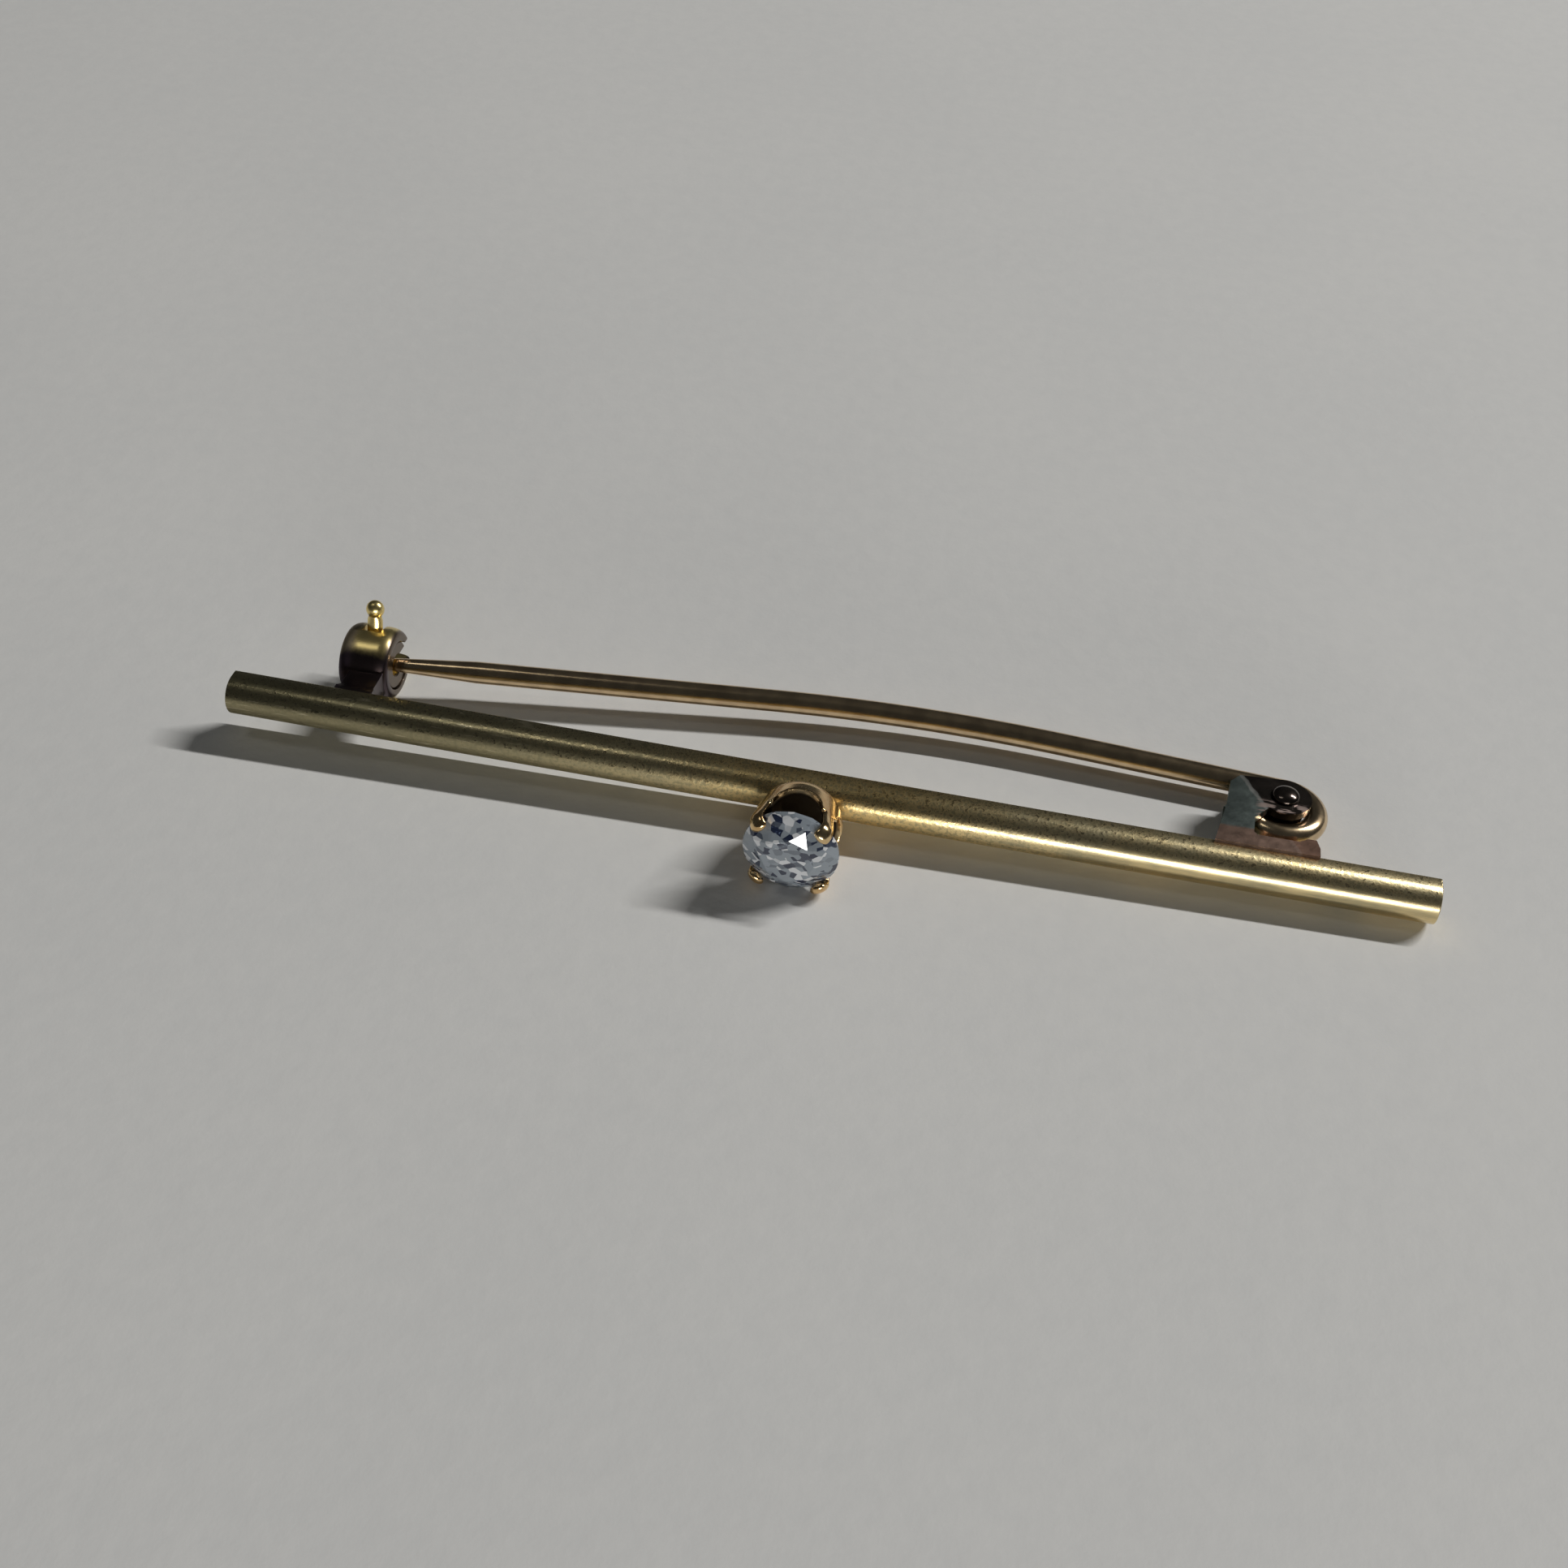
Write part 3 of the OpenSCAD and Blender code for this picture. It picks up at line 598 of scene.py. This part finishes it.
# A lathed drum with a slit and a window, on a neck with a spread foot.
def makeCatch():
    radius, half, bore = catch["radius"], catch["length"] / 2, catch["radius"] - catch["wall"]
    centre = Vector((catch["x"], catch["y"], line))
    turns = [radians(90 * i / catch["roundSteps"]) for i in range(catch["roundSteps"] + 1)]
    profile = [(0, -half)]
    for turn in turns:
        inset = catch["leftHigh"] * (1 - sin(turn))
        profile.append((radius - inset, -half + catch["leftLong"] * (1 - cos(turn))))
    for turn in reversed(turns):
        inset = catch["rightHigh"] * (1 - sin(turn))
        profile.append((radius - inset, half - catch["rightLong"] * (1 - cos(turn))))
    profile += [(bore, half), (bore, catch["end"] - half), (0, catch["end"] - half)]
    barrel = lathe(profile, centre, (1, 0, 0), (0, 0, 1), 96)
    left, right = catch["x"] - half + catch["neckLeft"], catch["x"] + half - catch["neckRight"]
    deep, foot, spread = catch["neck"] / 2, catch["foot"], catch["spread"]
    neck = box((left, -0.15, line - deep), (right, catch["y"] - bore - 0.1, line + deep))
    for height in (foot, foot + 0.25):
        bmesh.ops.bisect_plane(
            neck, geom=[*neck.verts, *neck.edges, *neck.faces], plane_co=(0, height, 0),
            plane_no=(0, 1, 0))
    low = [vert for vert in neck.verts if vert.co.y < foot + 0.1]
    grow = (1 + 2 * spread / (right - left), 1, 1 + spread / deep)
    middle = Matrix.Translation((-(left + right) / 2, 0, -line))
    bmesh.ops.scale(neck, vec=grow, space=middle, verts=low)
    window = bmesh.new()
    wide, begin = catch["window"] / 2, radians(catch["windowFrom"])
    spoke = Vector((0, sin(begin), -cos(begin)))
    start = centre + spoke * (bore - 0.2)
    ends = [window.verts.new(start + Vector((way * wide, 0, 0))) for way in (-1, 1)]
    made = bmesh.ops.extrude_edge_only(window, edges=[window.edges.new(ends)])
    bmesh.ops.translate(window, vec=spoke * 1.2, verts=newParts(made, bmesh.types.BMVert))
    bmesh.ops.spin(
        window, geom=[*window.verts, *window.edges, *window.faces], cent=centre, axis=(1, 0, 0),
        angle=radians(catch["windowTo"] - catch["windowFrom"]), steps=24)
    edge = {
        "width": catch["edge"], "segments": catch["edgeSteps"], "limit_method": "ANGLE",
        "angle_limit": radians(40),
    }
    tools = [("UNION", neck), ("DIFFERENCE", slit(catch["gap"])), ("DIFFERENCE", window)]
    work = shaped(barrel, tools, [("BEVEL", edge)])
    return finished(
        work, "catch_housing", goldCatch, "brooch", "brooch_body", sharp=40)


makeCatch()

sleeve = {
    "radius": 1.08, "bore": 0.5, "slot": 0.75, "clear": 0.06, "round": 0.05, "width": 0.72,
    "thick": 0.46, "tip": 2.9, "ball": 0.41, "flat": 0.9, "lean": 17,
}


# The slit tube that turns inside the drum, with a flat lever that ends in a ball.
def makeSleeve():
    half = catch["length"] / 2
    low, high = catch["end"] + sleeve["clear"] - half, half - sleeve["clear"]
    centre = Vector((catch["x"], catch["y"], line))
    outer, bore, e = sleeve["radius"], sleeve["bore"], sleeve["round"]
    profile = [(bore, low + e), (bore + e, low), (outer - e, low), (outer, low + e)]
    profile += [(outer, high - e), (outer - e, high), (bore + e, high), (bore, high - e)]
    profile.append((bore, low + e))
    tube = lathe(profile, centre, (1, 0, 0), (0, 0, 1), 72)
    lean = radians(sleeve["lean"])
    out = Vector((0, sin(lean), cos(lean)))
    neckAt = sleeve["tip"] - 2 * sleeve["ball"]
    widths = [
        (0.7, 1), (1.3, 1), (neckAt - 0.1, 0.97), (neckAt + 0.04, 0.86), (neckAt + 0.08, 0.84)]
    stations = [
        station(centre + out * at, out, (1, 0, 0), sleeve["width"] * share, sleeve["thick"])
        for at, share in widths]
    for turn in range(-50, 90, 12):
        at = sleeve["tip"] - sleeve["ball"] * (1 - sin(radians(turn)))
        width = 2 * sleeve["ball"] * cos(radians(turn))
        stations.append(station(centre + out * at, out, (1, 0, 0), width, width * sleeve["flat"]))
    lever = sweep(bmesh.new(), stations, 32)
    work = shaped(tube, [("DIFFERENCE", slit(sleeve["slot"])), ("UNION", lever)])
    return finished(work, "catch_lever", goldCatch, "catch", "catch_rotor")


makeSleeve()

pin = {
    "wire": 1.0, "catchWire": 0.62, "taper": 3.6, "point": 1.45, "slopeCatch": 6.61,
    "slopeHinge": 3.84, "bow": 72, "bowSteps": 60, "eye": 1.45, "eyeTurn": 250, "eyeSteps": 80,
    "sides": 40, "endRound": 0.06, "endShare": 0.86,
}


# The wire's round section is carried from the cut end round the eye, over the bow and to the point.
def makePin():
    bm = bmesh.new()
    radius = pin["wire"] / 2
    toCatch, toHinge = radians(pin["slopeCatch"]), radians(pin["slopeHinge"])
    catchWay = Vector((cos(toCatch), sin(toCatch), 0))
    hingeWay = Vector((-cos(toHinge), sin(toHinge), 0))
    mouth = Vector((catch["x"] + catch["length"] / 2, catch["y"], line))
    eyeStart = hingeHere + Vector((sin(toHinge), cos(toHinge), 0)) * pin["eye"]
    gap = eyeStart - mouth
    catchRun = gap.cross(hingeWay).z / catchWay.cross(hingeWay).z
    corner = mouth + catchWay * catchRun
    tangent = pin["bow"] * tan((toCatch + toHinge) / 2)

    def openEdges(made):
        return [edge for edge in newParts(made, bmesh.types.BMEdge) if edge.is_boundary]

    def curl(edges, centre, turn, steps):
        verts = list({vert for edge in edges for vert in edge.verts})
        made = bmesh.ops.spin(
            bm, geom=verts + edges, cent=centre, axis=(0, 0, 1), angle=turn, steps=steps)
        return [part for part in made["geom_last"] if isinstance(part, bmesh.types.BMEdge)]

    def draw(edges, middle, shift, grow=1.0):
        made = bmesh.ops.extrude_edge_only(bm, edges=edges)
        verts = newParts(made, bmesh.types.BMVert)
        bmesh.ops.scale(bm, vec=(grow, grow, grow), space=Matrix.Translation(-middle), verts=verts)
        bmesh.ops.translate(bm, vec=shift, verts=verts)
        return openEdges(made)

    cutAngle = pi / 2 - toHinge - radians(pin["eyeTurn"])
    cutEnd = hingeHere + Vector((cos(cutAngle), sin(cutAngle), 0)) * pin["eye"]
    way = Vector((-sin(cutAngle), cos(cutAngle), 0))
    ring = bmesh.ops.create_circle(
        bm, segments=pin["sides"], radius=radius * pin["endShare"], cap_ends=False,
        matrix=station(cutEnd, way, (0, 0, 1), 2, 2))["verts"]
    edges = list({edge for vert in ring for edge in vert.link_edges})
    bmesh.ops.edgeloop_fill(bm, edges=edges)
    edges = draw(edges, cutEnd, way * pin["endRound"], 1 / pin["endShare"])
    eyeTurn = radians(pin["eyeTurn"]) - pin["endRound"] / pin["eye"]
    edges = curl(edges, hingeHere, eyeTurn, pin["eyeSteps"])
    edges = draw(edges, eyeStart, hingeWay * ((eyeStart - corner).length - tangent))
    bowCentre = corner - catchWay * tangent + Vector((catchWay.y, -catchWay.x, 0)) * pin["bow"]
    edges = curl(edges, bowCentre, toCatch + toHinge, pin["bowSteps"])
    at = corner - catchWay * tangent
    edges = draw(edges, at, -catchWay * (catchRun - tangent - pin["taper"]))
    at = mouth + catchWay * pin["taper"]
    edges = draw(edges, at, -catchWay * pin["taper"], pin["catchWire"] / pin["wire"])
    edges = draw(edges, mouth, -catchWay * pin["point"] * 0.9, 0.48)
    edges = draw(edges, mouth - catchWay * pin["point"] * 0.9, -catchWay * pin["point"] * 0.07, 0.7)
    bmesh.ops.edgeloop_fill(bm, edges=edges)
    bmesh.ops.remove_doubles(bm, verts=bm.verts, dist=1e-5)
    return finished(bm, "pin_stem", goldPin, "pin", "pin_stem", sharp=40)


makePin()


# Two ears on one foot, each with a round boss and a hole for the rivet.
def makeBracket():
    x, y, boss, reach = hinge["x"], hinge["y"], hinge["boss"], hinge["reach"]
    half, thick = hinge["width"] / 2, hinge["ear"]
    strap = [
        (x - reach, -0.15), (x - 0.85 * reach, 0.7 * y), (x - 0.81 * reach, y + 0.4 * boss),
        (x - 0.67 * reach, y + 0.85 * boss), (x - 0.1 * boss, y + 0.98 * boss), (x, y),
        (x - 0.6 * boss, y - 0.78 * boss), (x - 0.44 * reach, 0.5 * y), (x - 0.46 * reach, -0.15)]
    end, over, base = hinge["end"], hinge["endReach"], hinge["base"]
    foot = [
        (x - reach, -0.15), (x + over, -0.15), (x + over, 0.4 * end), (x + 0.9 * over, end),
        (x + 0.65 * over, end), (x + 0.4 * over, base), (x - 0.4 * reach, base),
        (x - 0.7 * reach, 0.45 * y), (x - 0.86 * reach, 0.58 * y)]
    tools = []
    for low in (-half, half - thick):
        tools.append(("UNION", slab(strap, line + low, line + low + thick)))
        tools.append(("UNION", rod((x, y, line + low + thick / 2), boss, thick, 64)))
    tools.append(("DIFFERENCE", rod((x, y, line), hinge["hole"], 4, 48)))
    edge = {
        "width": hinge["edge"], "segments": hinge["edgeSteps"], "limit_method": "ANGLE",
        "angle_limit": radians(40),
    }
    work = shaped(slab(foot, line - half, line + half), tools, [("BEVEL", edge)])
    return finished(
        work, "hinge_bracket", goldHinge, "brooch", "brooch_body", sharp=40)


makeBracket()

rivet = {"post": 0.9, "end": 0.4, "head": 0.58, "height": 0.32, "play": 0.03, "round": 0.03}


# A stout post between the ears, thinner through them, with a domed head on the near side.
def makeRivet():
    half, play, e = hinge["width"] / 2, rivet["play"], rivet["round"]
    inner = half - hinge["ear"] - play
    post, end, head = rivet["post"], rivet["end"], rivet["head"]
    profile = [(0, play - half), (end - e, play - half), (end, play - half + e), (end, -inner)]
    profile += [(post - e, -inner), (post, e - inner), (post, inner - e), (post - e, inner)]
    profile.append((end, inner))
    profile += [(end, half + play), (head - e, half + play)]
    for turn in range(0, 90, 9):
        rise = e + (rivet["height"] - e) * sin(radians(turn))
        profile.append((head * cos(radians(turn)), half + play + rise))
    profile.append((0, half + play + rivet["height"]))
    bm = lathe(profile, hingeHere, (0, 0, 1), (1, 0, 0), 64)
    return finished(bm, "hinge_rivet", shadedRivetGold, "brooch", "hinge_rivet", sharp=50)


makeRivet()

table = {
    "size": 1.6, "pale": (0.77, 0.768, 0.75), "dim": (0.73, 0.732, 0.72), "fibre": 0.0011,
    "cloud": 0.022, "depth": 0.00002,
}


def makeTable():
    bm = bmesh.new()
    bmesh.ops.create_grid(bm, x_segments=4, y_segments=4, size=table["size"])
    top = looseObject(bm, "table")
    s = Shading("pale table", Roughness=0.85)
    point = s.add("ShaderNodeTexCoord", output="Object")
    fibres = s.noise(point, table["fibre"], 4, 0.6)
    clouds = s.noise(point, table["cloud"], 2, 0.5)
    pale = s.fade(fibres * 0.5 + clouds * 0.5, 0.3, 0.7)
    s.feed("Base Color", s.blend(pale, table["dim"], table["pale"]))
    s.relief(fibres, table["depth"])
    top.data.materials.append(s.material)


makeTable()


# A flat lamp that faces the middle of the table from the given way and distance, in metres.
def panel(name, toward, distance, wide, high, power, colour=(1, 1, 1), along=(1, 0, 0)):
    toward = Vector(toward).normalized()
    light = bpy.data.lights.new(name, "AREA")
    light.shape = "RECTANGLE"
    light.size, light.size_y = wide, high
    light.energy = power
    light.color = colour
    lamp = bpy.data.objects.new(name, light)
    right = Vector(along)
    right = (right - toward * right.dot(toward)).normalized()
    up = toward.cross(right)
    facing = Matrix((right, up, toward)).transposed().to_4x4()
    lamp.matrix_world = Matrix.Translation(toward * distance) @ facing
    lamp.visible_camera = False
    bpy.context.scene.collection.objects.link(lamp)


panel("strip light", (0.9, 0.62, 1), 1.2, 0.5, 0.035, 10.1, (1, 0.985, 0.965))
panel("front panel", (0.25, -0.96, 0.075), 0.5, 0.26, 0.07, 0.95, (1, 0.985, 0.955))
panel("left overhead panel", (-0.40, -0.02, 0.92), 0.6, 0.2, 0.08, 0.1, (1, 0.99, 0.94))

room = {"colour": (0.92, 0.97, 1.0, 1), "strength": 0.03}
world = bpy.data.worlds.new("room")
bpy.context.scene.world = world
world.use_nodes = True
world.node_tree.nodes["Background"].inputs["Color"].default_value = room["colour"]
world.node_tree.nodes["Background"].inputs["Strength"].default_value = room["strength"]

camera = {
    "at": (0.009431, -0.052192, 0.056193), "way": (-0.1393, 0.6794, -0.7204),
    "right": (0.9774, 0.2113, 0.0102), "lens": 40.956, "sensor": 36, "near": 0.002,
}
eye = bpy.data.objects.new("camera", bpy.data.cameras.new("camera"))
eye.data.lens = camera["lens"]
eye.data.sensor_width = camera["sensor"]
eye.data.clip_start = camera["near"]
forward = Vector(camera["way"]).normalized()
right = Vector(camera["right"])
right = (right - forward * right.dot(forward)).normalized()
stand = Matrix((right, right.cross(forward), -forward)).transposed().to_4x4()
eye.matrix_world = Matrix.Translation(camera["at"]) @ stand
bpy.context.scene.collection.objects.link(eye)
bpy.context.scene.camera = eye
bpy.context.scene.view_settings.view_transform = "Standard"
print("table, lights and camera set")
